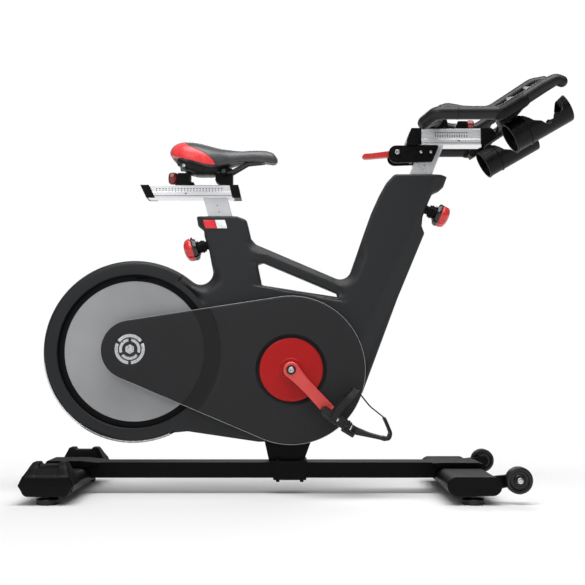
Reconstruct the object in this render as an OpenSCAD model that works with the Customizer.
// Indoor cycling bike with a rear flywheel, sliding saddle and sliding handlebar.
// Frame of reference: X forward (towards the handlebar), Y to the rider's left, Z up,
// origin on the floor under the middle of the machine. Millimetres.

/* [Base] */
// Half width of the base across a stabiliser bar with its end caps
base_hw = 258; // [245:1:270]
// Width of each stabiliser bar along the machine
bar_w = 134; // [120:1:140]
// Height of each stabiliser bar
bar_h = 46; // [42:1:50]
// Radius of a levelling foot pad
foot_r = 28; // [22:1:32]
// Radius of a transport wheel
wheel_r = 33.5; // [28:0.5:34]

/* [Drive] */
// Crank length, from spindle axis to pedal axis
crank_len = 170; // [165:2.5:175]
// Angle of the right crank arm below the horizontal, forwards
crank_dip = 46.9; // [30:0.1:60]
// Angle by which the pedals hang nose down
pedal_dip = 31; // [0:1:40]
// Radius of the flywheel rim
fly_r = 212; // [200:1:213]
// Working radius of the large belt pulley on the crank spindle
pulley_big_r = 165; // [150:1:170]
// Working radius of the small belt pulley on the flywheel axle
pulley_small_r = 33; // [28:1:38]

/* [Seat] */
// Rake of the seat post from the vertical, leaning back
seat_rake = 16; // [15:0.5:17]
// Length of the seat post tube
seat_post_len = 362; // [340:1:370]

/* [Handlebar] */
// Rake of the handlebar post from the vertical, leaning forward
bar_rake = 22; // [21:0.5:23]
// Length of the handlebar post tube
bar_post_len = 350; // [330:1:360]
// Radius of the handlebar tube with its rubber sleeve
grip_r = 16.5; // [15:0.5:17.5]
// Outer radius of a bottle holder
holder_r = 40; // [37:0.5:41]

/* [Frame] */
// Half thickness of the frame box section
frame_hw = 30; // [29.5:0.5:30]
// Wall thickness of the frame shell
wall = 4; // [3.5:0.5:4.5]

/* [Hidden] */
$fn = 96;

CR = [-30, 330];            // crank spindle axis (X, Z)
FW = [-456, 380];           // flywheel axle (X, Z)
GN = [-460, 383];           // centre of the guard's rear nose
rear_x = -633;              // rear stabiliser centre
front_x = 421;              // front stabiliser centre
bar_z = 24 + bar_h/2;       // height of both bars' centres
foot_y = 228;
wheel_c = [533, 60];        // transport wheel axis
wheel_y = 238;
SP = [-232, 776];           // a point on the seat post axis
HP = [328, 870];            // a point on the handlebar post axis
fender_ro = 246;
fender_ri = 215;
a_up = 60;                  // upper joint between fender and frame, degrees about the axle
a_dn = -63;                 // lower joint
PR = CR + crank_len*[cos(crank_dip), -sin(crank_dip)];  // right pedal axis
PL = CR - crank_len*[cos(crank_dip), -sin(crank_dip)];  // left pedal axis
LV = [261, 925];            // resistance lever pivot
MP = FW + 231*[cos(68), sin(68)];  // magnet yoke pivot
MG = FW + 206*[cos(88), sin(88)];  // centre of the magnets

// ---------- helpers ----------
function unit(v) = v/norm(v);
// Closed outline with rounded corners; each vertex is [x, z, radius]
function rp(p, n = 6) = [for (i = [0:len(p)-1])
  let (a = p[(i+len(p)-1)%len(p)], b = p[i], c = p[(i+1)%len(p)],
       A = [a[0],a[1]], B = [b[0],b[1]], C = [c[0],c[1]],
       u = unit(A-B), v = unit(C-B), half = acos(max(-1, min(1, u*v)))/2,
       t = min(b[2]/tan(half), 0.48*min(norm(A-B), norm(C-B))), r = t*tan(half),
       m = unit(u+v), o = B + m*(r/sin(half)), s = B+u*t-o, e = B+v*t-o,
       a0 = atan2(s[1], s[0]), d = atan2(e[1], e[0])-a0, dd = d > 180 ? d-360 : d < -180 ? d+360 : d)
  each (b[2] <= 0 ? [B] : [for (k = [0:n]) o + r*[cos(a0+dd*k/n), sin(a0+dd*k/n)]])];
// Counter-clockwise outline moved inwards by d
function inset(p, d) = [for (i = [0:len(p)-1])
  let (a = p[(i+len(p)-1)%len(p)], b = p[i], c = p[(i+1)%len(p)],
       e1 = unit([b[0]-a[0], b[1]-a[1]]), e2 = unit([c[0]-b[0], c[1]-b[1]]),
       n1 = [-e1[1], e1[0]], n2 = [-e2[1], e2[0]], k = 1 + n1*n2)
  [b[0]+d*(n1[0]+n2[0])/k, b[1]+d*(n1[1]+n2[1])/k, b[2] > 0 ? max(0.5, b[2]-d) : 0]];
// Extrudes an X-Z outline from y0 to y1
module xz(y0, y1) { translate([0, y1, 0]) rotate([90, 0, 0]) linear_extrude(y1-y0) children(); }
// Cylinder along Y at p = [x, z]
module ycyl(p, r, y0, y1) { translate([p[0], y1, p[1]]) rotate([90, 0, 0]) cylinder(h = y1-y0, r = r); }
module both() { children(); mirror([0, 1, 0]) children(); }
// Two circles and, within a tenth of a millimetre, their outer tangents
module tear(c1, r1, c2, r2) {
  d = c2-c1; a = atan2(d[1], d[0]); b = acos((r1-r2)/norm(d));
  translate(c1) circle(r1);
  translate(c2) circle(r2);
  polygon([c1+(r1-0.12)*[cos(a+b), sin(a+b)], c2+(r2-0.12)*[cos(a+b), sin(a+b)], c2+(r2-0.12)*[cos(a-b), sin(a-b)], c1+(r1-0.12)*[cos(a-b), sin(a-b)]]);
}
module stadium(w, h) { tear([-(w-h)/2, 0], h/2, [(w-h)/2, 0], h/2); }
// Round rod between two points
module rod(a, b, r) {
  d = b-a; L = norm(d);
  translate(a) rotate([0, acos(d[2]/L), atan2(d[1], d[0])]) cylinder(h = L, r = r);
}
// Rod along a list of points with ball corners
module path(pts, r, balls = true) {
  for (i = [0:len(pts)-2]) rod(pts[i], pts[i+1], r);
  if (balls) for (i = [1:len(pts)-2]) translate(pts[i]) sphere(r+0.25);
}
// Places children with local Z along a raked post axis and local X along the machine
module on_seat_post() { translate([SP[0], 0, SP[1]]) rotate([0, -seat_rake, 0]) children(); }
module on_bar_post() { translate([HP[0], 0, HP[1]]) rotate([0, bar_rake, 0]) children(); }
// Turns local +Z to point out of the back of the seat tube / the front of the head strut
module seat_pin_axis() { on_seat_post() translate([0, 0, -93.3]) rotate([0, -90, 0]) children(); }
module bar_pin_axis() { on_bar_post() translate([0, 0, -88]) rotate([0, 90, 0]) children(); }
module boxc(x, y, z0, z1) { translate([-x/2, -y/2, z0]) cube([x, y, z1-z0]); }

// ---------- frame outline ----------
FUP = FW + fender_ro*[cos(a_up), sin(a_up)];
FDN = FW + fender_ro*[cos(a_dn), sin(a_dn)];
FRAME = [[FDN[0], FDN[1], 0], [-309, 164, 20], [-118, 136, 10], [23, 137, 6], [60, 152, 20], [105, 186, 30], [147, 236, 40],
  [165, 270, 40], [262, 527, 200], [336, 703, 8], [328, 722, 10], [330, 747, 20], [348, 792, 8], [358, 812, 10], [377, 820, 8],
  [389, 831, 8], [399, 859, 3], [383, 864, 3], [253, 864, 16], [231, 841, 60], [214, 811, 90], [191, 760, 120], [173, 710, 120],
  [122, 566, 31], [-126, 672, 16], [-140, 688, 12], [-152, 738, 12], [-178, 748, 22], [-289, 748, 4], [-285, 722, 6],
  [-269, 710, 8], [-267, 692, 10], [-254, 652, 40], each [for (k = [0:8]) [-278+34*cos(-129.5*k/8), 596+34*sin(-129.5*k/8), 0]],
  each [for (a = [52.5, 55, 57.5]) [FW[0]+fender_ro*cos(a), FW[1]+fender_ro*sin(a), 0]], [FUP[0], FUP[1], 0], [FW[0], FW[1], 0]];
WINDOW = [[-122, 617, 5], [-110, 560, 9], [98, 527, 3], [93, 537, 3], [-106, 621, 6]];
// Flat chamfers that thin the frame towards the front of the strut and the back of the seat tube
module chamfers(y) {
  both() translate([156, -y, 401]) rotate([0, -65.7, 0]) rotate([24, 0, 0]) translate([-300, -60, -140]) cube([900, 60, 140]);
  both() translate([-219, -y, 588]) rotate([0, -110, 0]) rotate([-22, 0, 0]) translate([-60, -60, 0]) cube([260, 60, 90]);
}

module main_frame() {
  color("#2f3032") difference() {
    union() {
      difference() {
        xz(-frame_hw, frame_hw) difference() {
          polygon(rp(FRAME));
          translate(FW) circle(fender_ri+1);
          polygon(rp(WINDOW));
        }
        chamfers(frame_hw);
        difference() {
          xz(-frame_hw+wall, frame_hw-wall) difference() {
            polygon(rp(inset(FRAME, wall)));
            translate(FW) circle(fender_ri+1+wall);
            polygon(rp(inset(WINDOW, wall)));
          }
          chamfers(frame_hw-wall-0.6);
        }
      }
      // dropout plates that carry the flywheel axle
      both() xz(-28, -21) difference() { tear([-190, 350], 46, FW, 34); translate(CR) circle(60); }
      // sockets for the two pull pins
      seat_pin_axis() translate([0, 0, 42]) cylinder(h = 20, r = 17);
      bar_pin_axis() translate([0, 0, 42]) cylinder(h = 16, r = 17);
    }
    // openings for the posts and their sleeves
    on_seat_post() boxc(71.2, 42.2, -78, 60);
    on_bar_post() boxc(66.2, 42.2, -74, 60);
    // pull pin holes and seats
    seat_pin_axis() cylinder(h = 100, r = 12.05);
    seat_pin_axis() translate([0, 0, 62]) cylinder(h = 60, r = 22);
    bar_pin_axis() cylinder(h = 100, r = 12.05);
    bar_pin_axis() translate([0, 0, 58]) cylinder(h = 60, r = 22);
    // bottom bracket and axle bearing holes
    ycyl(CR, 26.02, -60, 60);
    ycyl(FW, 19.02, -60, 60);
  }
}

// Curved cover over the flywheel rim, a channel open towards the axle
module flywheel_fender() {
  color("#333436") intersection() {
    difference() {
      xz(-frame_hw, frame_hw) difference() { translate(FW) circle(fender_ro); translate(FW) circle(fender_ri); }
      xz(-frame_hw+3, frame_hw-3) difference() { translate(FW) circle(fender_ro-3); translate(FW) circle(fender_ri-5); }
      ycyl(MP, 4.06, -60, 60);
    }
    xz(-60, 60) polygon([FW, FW+600*[cos(a_up+0.05), sin(a_up+0.05)], FW+[-700, 700], FW+[-700, -700], FW+600*[cos(a_dn-0.05), sin(a_dn-0.05)]]);
  }
}
// Bright strip let into the lower rear edge of the fender
module fender_trim() {
  color("#e4e5e8") intersection() {
    xz(-frame_hw-1, -frame_hw) difference() { translate(FW) circle(fender_ro-1); translate(FW) circle(fender_ro-4); }
    xz(-60, 60) polygon([FW, FW+600*[cos(188), sin(188)], FW+[-500, -600], FW+600*[cos(-66), sin(-66)]]);
  }
}

// ---------- guards ----------
module guard2d(d) { tear(CR, 198-d, GN, 80-d); }
module belt_guard_outer() {
  color("#303032") difference() {
    union() {
      difference() { xz(-58, -30.1) guard2d(0); xz(-55, -29) guard2d(3); }
      ycyl(CR, 98.5, -57, -46.5);
    }
    ycyl(CR, 95.5, -60, -49.5);
    ycyl(CR, 62, -60, -40);
    // seat for the round badge
    ycyl([-462, 385], 41.2, -60, -57.2);
  }
}
module belt_guard_inner() {
  color("#232324") difference() {
    xz(-32.4, -30.2) guard2d(3.2);
    ycyl(CR, 40, -40, -20);
    ycyl(FW, 24, -40, -20);
  }
}
module left_cover() {
  color("#303032") difference() {
    union() {
      difference() { xz(30.1, 50) tear(CR, 150, FW, 62); xz(30, 47) tear(CR, 147, FW, 59); }
      ycyl(CR, 46, 40, 49);
    }
    ycyl(CR, 40, 20, 60);
  }
}
module guard_badge() { color("#d4d6da") ycyl([-462, 385], 41, -58.2, -57.2); }
module mast_badge() { color("#d8252c") xz(-frame_hw-0.8, -frame_hw-0.02) polygon([[-271, 737], [-211, 737], [-204, 714], [-264, 714]]); }

// ---------- sleeves, pins, bearings ----------
module post_sleeves() {
  color("#161616") {
    difference() {
      on_seat_post() boxc(71, 42, -75, 60);
      on_seat_post() boxc(63.1, 34.1, -120, 80);
      translate([-400, -100, 749]) cube([400, 200, 200]);
    }
    difference() {
      on_bar_post() boxc(66, 42, -72, 60);
      on_bar_post() boxc(58.1, 34.1, -120, 80);
      translate([100, -100, 865]) cube([400, 200, 200]);
    }
  }
}
module pin_housing(r, z0, z1, z2) {
  difference() {
    union() { translate([0, 0, z0]) cylinder(h = z1-z0+0.01, r = 12); translate([0, 0, z1]) cylinder(h = z2-z1, r = r);
      translate([0, 0, z1+6]) cylinder(h = 4, r = r+2); }
    cylinder(h = 200, r = 7.05);
  }
}
module pin_housings() {
  color("#17181a") {
    seat_pin_axis() pin_housing(16, 42, 62, 88);
    bar_pin_axis() pin_housing(17, 42, 58, 82);
  }
}
module bottom_bracket_shell() { color("#3a3a3c") difference() { ycyl(CR, 26, -33, 33); ycyl(CR, 20, -40, 40); } }
module bearing(p, ro, ri, y0, y1) { difference() { ycyl(p, ro, y0, y1); ycyl(p, ri, y0-5, y1+5); } }
module bearings() {
  color("#b9bcc0") {
    both() bearing(CR, 19.98, 12.05, -32, -20);
    both() bearing(FW, 19, 10.05, -28, -21);
  }
}

// ---------- base ----------
module pedestal() {
  color("#151515") {
    difference() {
      union() {
        xz(-frame_hw, frame_hw) polygon([[-101, 150], [23, 150], [23, 137], [3, 83.1], [-89, 83.1], [-101, 136]]);
        xz(-48, 48) polygon([[-89, 83.1], [12, 83.1], [12, 88], [-89, 88]]);
      }
      xz(-frame_hw+4, frame_hw-4) polygon([[-95, 160], [17, 160], [17, 137], [-2, 92], [-84, 92], [-95, 136]]);
      xz(-frame_hw-0.05, frame_hw+0.05) polygon(rp(FRAME));
    }
    // clamp box round the base tube, with its bolt heads
    difference() {
      xz(-48, 48) polygon([[-78, 37], [10, 37], [10, 88], [-78, 88]]);
      translate([-100, -40.05, 41.9]) cube([200, 80.1, 41.2]);
    }
    for (x = [-66, -2]) both() { translate([x, -43, 87.5]) cylinder(h = 5.5, r = 5, $fn = 6); translate([x, -43, 32]) cylinder(h = 5.5, r = 5, $fn = 6); }
  }
}
module base_tube() {
  color("#0d0d0e") difference() {
    union() {
      translate([-632, 0, 62.5]) rotate([90, 0, 90]) linear_extrude(1052) square([80, 41], center = true);
      // saddle plates welded over the bars at both ends
      xz(-52, 52) polygon([[-692, 71], [-574, 71], [-540, 83], [-590, 88], [-680, 88]]);
      xz(-60, 60) polygon([[362, 71], [490, 71], [480, 80], [468, 84], [376, 84], [345, 83]]);
    }
    translate([-640, 0, 62.5]) rotate([90, 0, 90]) linear_extrude(1100) square([74, 35], center = true);
    translate([rear_x, 0, bar_z]) rotate([90, 0, 0]) linear_extrude(700, center = true) stadium(bar_w+0.1, bar_h+0.1);
    translate([front_x, 0, bar_z]) rotate([90, 0, 0]) linear_extrude(700, center = true) stadium(bar_w+0.1, bar_h+0.1);
  }
}
module bar_tube(x) {
  translate([x, 0, bar_z]) rotate([90, 0, 0]) linear_extrude(2*base_hw-24, center = true)
    difference() { stadium(bar_w, bar_h); stadium(bar_w-6, bar_h-6); }
}
module foot_nuts(x) { both() translate([x, -foot_y, 27]) difference() { cylinder(h = 14, r = 11, $fn = 6); translate([0, 0, -1]) cylinder(h = 20, r = 6.05); } }
module foot_holes(x) { both() translate([x, -foot_y, 10]) cylinder(h = 20, r = 7); }
module rear_stabiliser() { color("#0f0f10") { difference() { bar_tube(rear_x); foot_holes(rear_x); } foot_nuts(rear_x); } }
module front_stabiliser() {
  color("#0f0f10") {
    difference() {
      union() {
        bar_tube(front_x);
        // arms that carry the transport wheels, with their fixed axle pins
        both() xz(-222, -210) difference() { tear([470, 50], 17, wheel_c, 14); translate([front_x, bar_z]) stadium(bar_w-4, bar_h-4); }
      }
      foot_holes(front_x);
    }
    both() { ycyl(wheel_c, 6, -252, -221.9); ycyl(wheel_c, 9, -255, -252); }
    foot_nuts(front_x);
  }
}
module rear_end_caps() {
  color("#121213") both() difference() {
    union() {
      translate([rear_x, -base_hw, 0]) hull() {
        translate([-69, 0, 46]) cube([138, 74, 4]);
        translate([-62, 0, 21]) cube([121, 74, 4]);
        translate([-58, 1, 70]) cube([116, 73, 1]);
      }
      translate([rear_x, -base_hw, 0]) hull() {
        translate([-58, 2, 70]) cube([116, 72, 1]);
        translate([-42, 40, 101]) cube([84, 30, 1]);
      }
    }
    // hand-hold recess between the two raised ears
    translate([rear_x-24, -base_hw+36, 96]) cube([48, 60, 20]);
    // socket for the bar
    translate([rear_x, -base_hw+12, bar_z]) rotate([-90, 0, 0]) linear_extrude(100) stadium(bar_w+0.1, bar_h+0.1);
    translate([rear_x, -foot_y, 0]) cylinder(h = 60, r = 13);
  }
}
module front_end_caps() {
  color("#121213") both() translate([front_x, -base_hw+12, bar_z]) rotate([90, 0, 0]) linear_extrude(12) stadium(bar_w+1, bar_h+1);
}
module foot(x, y) {
  color("#111112") translate([x, y, 0]) {
    rotate_extrude() polygon([[0, 0], [foot_r-1, 0], [foot_r, 1.5], [foot_r, 12], [foot_r-2, 15], [14, 16], [0, 16]]);
    cylinder(h = 44, r = 6);
    translate([0, 0, 15]) cylinder(h = 6, r = 10, $fn = 6);
  }
}
module foot_rear_right() { foot(rear_x, -foot_y); }
module foot_rear_left() { foot(rear_x, foot_y); }
module foot_front_right() { foot(front_x, -foot_y); }
module foot_front_left() { foot(front_x, foot_y); }
module transport_wheel(s) {
  color("#131314") translate([wheel_c[0], s*wheel_y, wheel_c[1]]) rotate([90, 0, 0]) rotate_extrude()
    polygon([[6.05, -12], [14, -12], [16, -9], [24, -9], [26, -12], [wheel_r-2, -12], [wheel_r, -9], [wheel_r, 9], [wheel_r-2, 12], [26, 12], [24, 9], [16, 9], [14, 12], [6.05, 12]]);
}
module transport_wheel_right() { transport_wheel(-1); }
module transport_wheel_left() { transport_wheel(1); }

// ---------- drive ----------
module drive_belt() {
  color("#0e0e0e") xz(-45.5, -34.5) difference() { tear(CR, pulley_big_r+3.4, FW, pulley_small_r+3.4); tear(CR, pulley_big_r+0.4, FW, pulley_small_r+0.4); }
}
module crank_spindle() { color("#9a9ca0") ycyl(CR, 12, -77.5, 77.5); }
module crank_arm(s) {
  difference() {
    union() {
      xz(62, 78) tear(CR, 22, s > 0 ? PL : PR, 16);
      ycyl(CR, 24, 58, 62.01);
    }
    ycyl(CR, 12.02, 40, 90);
    ycyl(s > 0 ? PL : PR, 7.02, 40, 90);
  }
}
module crank_arm_right() { color("#dc4a46") mirror([0, 1, 0]) crank_arm(-1); }
module crank_arm_left() { color("#dc4a46") crank_arm(1); }
module crank_disc() {
  color("#b01f22") difference() {
    union() { ycyl(CR, 85, -54, -51); ycyl(CR, 30, -57.9, -50); }
    ycyl(CR, 12.02, -80, -40);
  }
}
module crank_pulley() {
  color("#1a1a1b") difference() {
    union() { ycyl(CR, pulley_big_r, -45.5, -34.5); ycyl(CR, pulley_big_r+4, -47, -46); ycyl(CR, pulley_big_r+0.01, -46.01, -45.4); ycyl(CR, 32, -49, -33.5); }
    ycyl(CR, pulley_big_r-10, -50, -43);
    ycyl(CR, pulley_big_r-10, -37, -30);
    ycyl(CR, 12.02, -80, -20);
    for (k = [0:5]) ycyl(CR+98*[cos(60*k), sin(60*k)], 34, -60, -20);
  }
  color("#1a1a1b") difference() { ycyl(CR, 32, -49, -33.5); ycyl(CR, 12.02, -80, -20); }
}
module crank_bolts() { color("#c8cacd") both() { ycyl(CR, 10, -80, -78.02); ycyl(CR, 5.5, -82, -79.9); } }
module pedal_axles() { color("#a4a6aa") { ycyl(PR, 7, -166, -64); ycyl(PL, 7, 64, 166); ycyl(PR, 10, -83, -78.02); ycyl(PL, 10, 78.02, 83); } }
// Pedal platform in local axes: X towards the toe, Y outwards from the crank
module pedal_body() {
  difference() {
    union() {
      translate([0, 84, 0]) rotate([-90, 0, 0]) linear_extrude(8) polygon(rp([[-44, -9, 6], [48, -9, 6], [48, 9, 6], [-44, 9, 6]]));
      translate([0, 160, 0]) rotate([-90, 0, 0]) linear_extrude(8) polygon(rp([[-44, -9, 6], [48, -9, 6], [48, 9, 6], [-44, 9, 6]]));
      translate([-44, 84, -9]) cube([9, 84, 18]);
      translate([39, 84, -9]) cube([9, 84, 18]);
      translate([0, 84, 0]) rotate([-90, 0, 0]) cylinder(h = 84, r = 15);
      translate([-40, 118, -8]) cube([84, 14, 16]);
    }
    translate([0, 60, 0]) rotate([-90, 0, 0]) cylinder(h = 120, r = 7.06);
    for (x = [-30, 30]) translate([x, 60, 0]) rotate([-90, 0, 0]) cylinder(h = 120, r = 4);
  }
}
// Toe cage band and strap in the same local axes
module toe_cage() {
  pts = [[48.6, 1], [72, 4], [143, 25], [146, 31], [119, 60], [88, 68]];
  translate([0, 108, 0]) rotate([90, 0, 0]) mirror([0, 0, 1]) linear_extrude(36)
    union() {
      for (i = [0:len(pts)-2]) let (a = pts[i], b = pts[i+1], n = 1.7*unit([a[1]-b[1], b[0]-a[0]])) polygon([a-n, b-n, b+n, a+n]);
      for (i = [1:len(pts)-1]) translate(pts[i]) circle(1.9, $fn = 24);
      polygon([[48.1, -6], [52, -6], [74, 2], [74, 6], [52, 8], [48.1, 8]]);
    }
  // strap loop from side to side over the instep
  translate([0, 0, 0]) rotate([0, 14, 0]) translate([-4, 0, 0]) {
    translate([-9, 80.5, 12]) cube([18, 2.2, 58]);
    translate([-9, 169.3, 12]) cube([18, 2.2, 58]);
    translate([-9, 80.5, 67]) rotate([22, 0, 0]) cube([18, 28, 2.2]);
    translate([-9, 171.5, 67]) mirror([0, 1, 0]) rotate([22, 0, 0]) cube([18, 28, 2.2]);
    translate([-9, 104, 76]) cube([18, 44, 2.2]);
  }
  // straps that carry on to the front hoop
  translate([0, 0, 0]) rod([14, 126, 77], [90, 126, 68.5], 2.2);
}
module at_pedal(p) { translate([p[0], 0, p[1]]) rotate([0, pedal_dip, 0]) children(); }
module pedal_body_right() { color("#151516") at_pedal(PR) mirror([0, 1, 0]) pedal_body(); }
module toe_cage_right() { color("#101011") at_pedal(PR) mirror([0, 1, 0]) toe_cage(); }
module pedal_body_left() { color("#151516") at_pedal(PL) pedal_body(); }
module toe_cage_left() { color("#101011") at_pedal(PL) toe_cage(); }

module about_axle() { translate([FW[0], 0, FW[1]]) rotate([90, 0, 0]) rotate_extrude($fn = 160) children(); }
module flywheel_rim() { color("#101010") about_axle() polygon([[195.02, -15], [fly_r-2, -15], [fly_r, -13], [fly_r, 13], [fly_r-2, 15], [195.02, 15]]); }
module flywheel_disc() {
  color("#a0a2a5") about_axle() polygon([[10.02, -20], [30, -20], [32, -11], [60, -9], [180, -13], [195, -14], [195, 14], [180, 13], [60, 9], [32, 11], [30, 20], [10.02, 20]]);
}
module flywheel_axle() { color("#8e9094") ycyl(FW, 10, -50, 44); }
module flywheel_pulley() {
  color("#2a2a2b") difference() {
    union() { ycyl(FW, pulley_small_r, -46.5, -33.5); ycyl(FW, pulley_small_r+4, -47.5, -46.4); ycyl(FW, 20, -48, -33); }
    ycyl(FW, 10.02, -60, -20);
  }
}
// Yoke with magnets on both sides of the rim, pinned inside the fender
module magnet_yoke() {
  color("#5c5f63") {
    both() xz(-24.5, -19.5) tear(MP, 11, MG+[0, 4], 11);
    ycyl(MP, 11, -20, 20);
    both() xz(-19.6, -16.4) translate(MG) circle(9);
    ycyl(MP, 4, -frame_hw-0.5, frame_hw+0.5);
  }
}

// ---------- seat ----------
module seat_post_tube() {
  color("#dcdde0") difference() {
    on_seat_post() difference() { boxc(63, 34, 28-seat_post_len, 40); boxc(57, 28, 20-seat_post_len, 60); }
    translate([-400, -60, 798.95]) cube([300, 120, 100]);
  }
}
module rail_profile(w, h) {
  difference() {
    union() { translate([-w/2, 0]) square([w, 16]); translate([-w/2+3, 15]) square([w-6, h-15]); }
    translate([-w/2+4, 4]) square([w-8, h-8]);
    translate([-11, h-10]) square([22, 20]);
  }
}
module seat_rail() {
  color("#c6c7ca") {
    translate([-423, 0, 799]) rotate([90, 0, 90]) linear_extrude(236) rail_profile(56, 34);
  }
}
module raked_cap(x0, x1, dx, z0, z1, hw) { xz(-hw, hw) polygon([[x0, z1], [x1, z1], [x1+dx, z0], [x0+dx, z0]]); }
module seat_rail_caps() {
  color("#141415") {
    difference() { raked_cap(-443, -419, 17, 798, 834, 30); translate([-423.1, -28.1, 780]) cube([60, 56.2, 80]); }
    difference() { raked_cap(-199, -175, 8, 798, 834, 30); translate([-240, -28.1, 780]) cube([53.1, 56.2, 80]); }
  }
}
module seat_slider() {
  color("#141415") {
    difference() {
      union() {
        xz(-10.5, 10.5) polygon([[-346, 812], [-216, 812], [-216, 836], [-346, 836]]);
        xz(-22, 22) polygon(rp([[-350, 834.1, 1], [-297, 834.1, 1], [-297, 842, 2], [-308, 844, 2], [-308, 868, 3], [-342, 868, 3], [-342, 844, 2]]));
        xz(-19, 19) polygon(rp([[-239, 846, 8], [-220, 834.1, 2], [-191, 834.1, 1], [-191, 880, 4], [-212, 884, 6], [-236, 880, 6]]));
      }
    }
    // clamp ears around the two saddle rails
    both() difference() { xz(-30, -18) translate([-215, 872]) circle(11); rod([-240, -24, 872.4], [-190, -24, 872.4], 4.02); }
  }
}
module saddle_rails($fn = 24) {
  color("#3c3d40") both() {
    rod([-266, -24, 872.4], [-172, -24, 872.4], 3.9);
    rod([-262, -24, 872.4], [-322, -36, 896], 3.6);
    rod([-176, -24, 872.4], [-112, -12, 897.5], 3.6);
  }
}
module saddle_shell() {
  color("#101011") difference() {
    hull() {
      both() translate([-300, -48, 902]) cylinder(h = 4, r = 34, $fn = 32);
      translate([-92, 0, 902]) cylinder(h = 4, r = 16, $fn = 32);
    }
    both() rod([-262, -24, 872.4], [-322, -36, 896], 4.3);
    both() rod([-176, -24, 872.4], [-104, -9.5, 901.5], 4.3);
  }
}
module saddle_cushion() {
  color("#3a3b3d") hull() {
    both() translate([-305, -48, 931.6]) scale([1.4, 0.95, 0.62]) sphere(41, $fn = 28);
    both() translate([-305, -48, 906.2]) cylinder(h = 2, r = 32, $fn = 28);
    translate([-96, 0, 922]) scale([1.05, 0.82, 0.56]) sphere(28, $fn = 24);
    translate([-94, 0, 906.4]) cylinder(h = 2, r = 14, $fn = 24);
  }
}
module clamp_knob() {
  difference() {
    rotate_extrude($fn = 64) polygon(rp([[0, 0, 0], [12, 0, 3], [16, 4, 4], [17.5, 12, 6], [16, 22, 6], [10, 26, 5], [0, 27, 0]], 4));
    // screw recess in the face
    translate([0, 0, 23]) cylinder(h = 10, r = 5);
  }
}
module seat_fore_aft_knob() { color("#7e1416") { translate([-342.3, 0, 856]) rotate([0, -90, 0]) clamp_knob(); translate([-342.5, 0, 856]) rotate([0, -90, 0]) cylinder(h = 4, r = 6); } }
module pull_knob(z0, z1) {
  rotate_extrude($fn = 72) polygon(rp([[0, z1, 0], [12, z1, 2], [14, z1+1, 1], [27, z1+2, 4], [32, z1+7, 4], [32, z1+13, 4], [27, z1+18, 5], [14, z1+20, 6], [0, z1+20, 0]], 4));
  translate([0, 0, z0]) cylinder(h = z1-z0+2, r = 7);
}
module seat_height_knob() { color("#c22a2c") seat_pin_axis() pull_knob(32.2, 90); }
module bar_height_knob() { color("#c22a2c") bar_pin_axis() pull_knob(29.8, 84); }

// ---------- handlebar ----------
module bar_post_tube() {
  color("#dcdde0") difference() {
    on_bar_post() difference() { boxc(58, 34, 88-bar_post_len, 110); boxc(52, 28, 60-bar_post_len, 130); }
    translate([200, -60, 944.9]) cube([300, 120, 100]);
  }
}
module bar_rail() {
  color("#cfd0d2") translate([318, 0, 945]) rotate([90, 0, 90]) linear_extrude(186) rail_profile(56, 45);
}
module bar_rail_caps() {
  color("#141415") {
    difference() { xz(-30, 30) polygon([[300, 991.5], [327, 991.5], [327, 944.5], [287, 944.5], [287, 960]]); translate([317.9, -28.1, 930]) cube([60, 56.2, 80]); }
    difference() { xz(-30, 30) polygon([[490, 944.5], [505, 944.5], [530, 962], [534, 975], [520, 991.5], [490, 991.5]]); translate([440, -28.1, 930]) cube([64.1, 56.2, 80]); }
  }
}
module lever_bracket() {
  color("#1b1c1e") {
    both() difference() {
      xz(-24, -17.2) polygon(rp([[238, 944, 20], [238, 895, 20], [357, 899, 6], [376, 944, 4]]));
      ycyl(LV, 6.02, -60, 60);
    }
    xz(-17.3, 17.3) polygon([[296, 899], [304, 899], [303, 905], [296, 905]]);
  }
  color("#c8cacd") both() {
    difference() { ycyl(LV, 9, -27, -24); ycyl(LV, 3, -30, -25.5); }
    ycyl([326, 925], 5, -27, -24);
    ycyl([353, 925], 5, -27, -24);
  }
  color("#c8cacd") ycyl(LV, 6, -24.01, 24.01);
}
module resistance_lever() {
  color("#9c2c2a") difference() {
    union() {
      ycyl(LV, 14, -11, 11);
      xz(-9, 9) polygon(rp([[250, 934, 2], [236, 931, 8], [190, 925, 20], [172, 924, 6], [164, 917, 6], [172, 910, 5], [190, 911, 20], [236, 915, 8], [252, 916, 2]]));
    }
    ycyl(LV, 6.05, -30, 30);
  }
}
module bar_slider() {
  color("#151516") {
    xz(-10.5, 10.5) polygon([[346, 966], [484, 966], [484, 992], [346, 992]]);
    difference() {
      union() {
        xz(-26, 26) polygon(rp([[342, 992.1, 1], [402, 992.1, 1], [398, 1016, 8], [384, 1026, 8], [352, 1022, 8], [340, 1008, 6]]));
        xz(-15, 15) polygon(rp([[424, 992.1, 1], [455, 992.1, 1], [455, 1014, 3], [430, 1014, 4], [424, 1000, 3]]));
      }
      rod([366, -60, 1012], [366, 60, 1012], grip_r+0.02);
    }
  }
}
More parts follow.
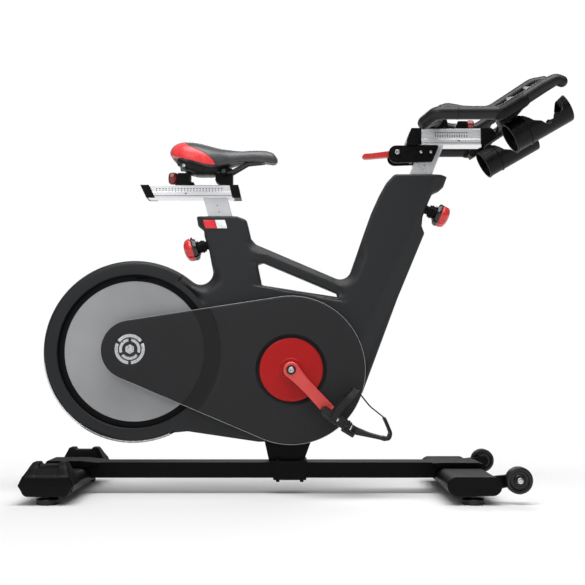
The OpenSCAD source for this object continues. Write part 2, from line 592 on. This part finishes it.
module handlebar($fn = 14) {
  color("#27292a") {
    path([[366, -62, 1012], [366, 62, 1012]], grip_r, false);
    both() {
      path([[366, -62, 1012], [318, -182, 970], [345, -235, 982], [503, -235, 982], [624, -235, 1057], [664, -231, 1055]], grip_r);
      translate([366, -62, 1012]) sphere(grip_r+0.25);
      translate([664, -231, 1055]) sphere(grip_r-1);
      path([[358, -86, 1006], [384, -92, 1027], [503, -90, 1018], [626, -90, 1100], [652, -87, 1102]], grip_r-1.5);
      translate([652, -87, 1102]) sphere(grip_r-2.3);
      // hanger bars between the inner and outer bars, for the bottle holder
      path([[545, -92, 1046], [545, -233, 1008]], 8, false);
      path([[590, -92, 1076], [590, -233, 1036]], 8, false);
    }
  }
}
// Bottle cradle: a ring at the low end and a trough with a lipped end, axis rising forwards
module holder() {
  difference() {
    cylinder(h = 171, r = holder_r);
    translate([0, 0, -1]) cylinder(h = 169, r = holder_r-3.5);
    // the upper side is open beyond the ring
    translate([-60, -60, 62]) cube([58, 120, 100]);
    translate([-80, -60, 162]) cube([58, 120, 30]);
  }
}
module bottle_holders() {
  color("#1c1d1e") both() {
    translate([533, -177, 926.5]) rotate([0, 60, 0]) holder();
    // stem up to the hanger bar
    difference() {
      translate([545, -177, 974]) cylinder(h = 52, r = 9);
      rod([545, -92, 1046], [545, -233, 1008], 8.03);
      translate([533, -177, 926.5]) rotate([0, 60, 0]) cylinder(h = 171, r = holder_r-3.5);
    }
  }
}
module bar_fore_aft_knob() { color("#7e1416") { translate([455.3, 0, 1006.2]) rotate([0, 90, 0]) scale(0.8) clamp_knob(); } }

main_frame();
flywheel_fender();
fender_trim();
belt_guard_outer();
belt_guard_inner();
left_cover();
guard_badge();
mast_badge();
post_sleeves();
pin_housings();
bottom_bracket_shell();
bearings();
pedestal();
base_tube();
rear_stabiliser();
front_stabiliser();
rear_end_caps();
front_end_caps();
drive_belt();
crank_spindle();
crank_arm_right();
crank_arm_left();
crank_disc();
crank_pulley();
crank_bolts();
pedal_axles();
pedal_body_right();
toe_cage_right();
pedal_body_left();
toe_cage_left();
flywheel_rim();
flywheel_disc();
flywheel_axle();
flywheel_pulley();
magnet_yoke();
seat_post_tube();
seat_rail();
seat_rail_caps();
seat_slider();
saddle_rails();
saddle_shell();
saddle_cushion();
seat_fore_aft_knob();
seat_height_knob();
bar_height_knob();
bar_post_tube();
bar_rail();
bar_rail_caps();
lever_bracket();
resistance_lever();
bar_slider();
handlebar();
bottle_holders();
bar_fore_aft_knob();
transport_wheel_right();
transport_wheel_left();
foot_rear_right();
foot_rear_left();
foot_front_right();
foot_front_left();
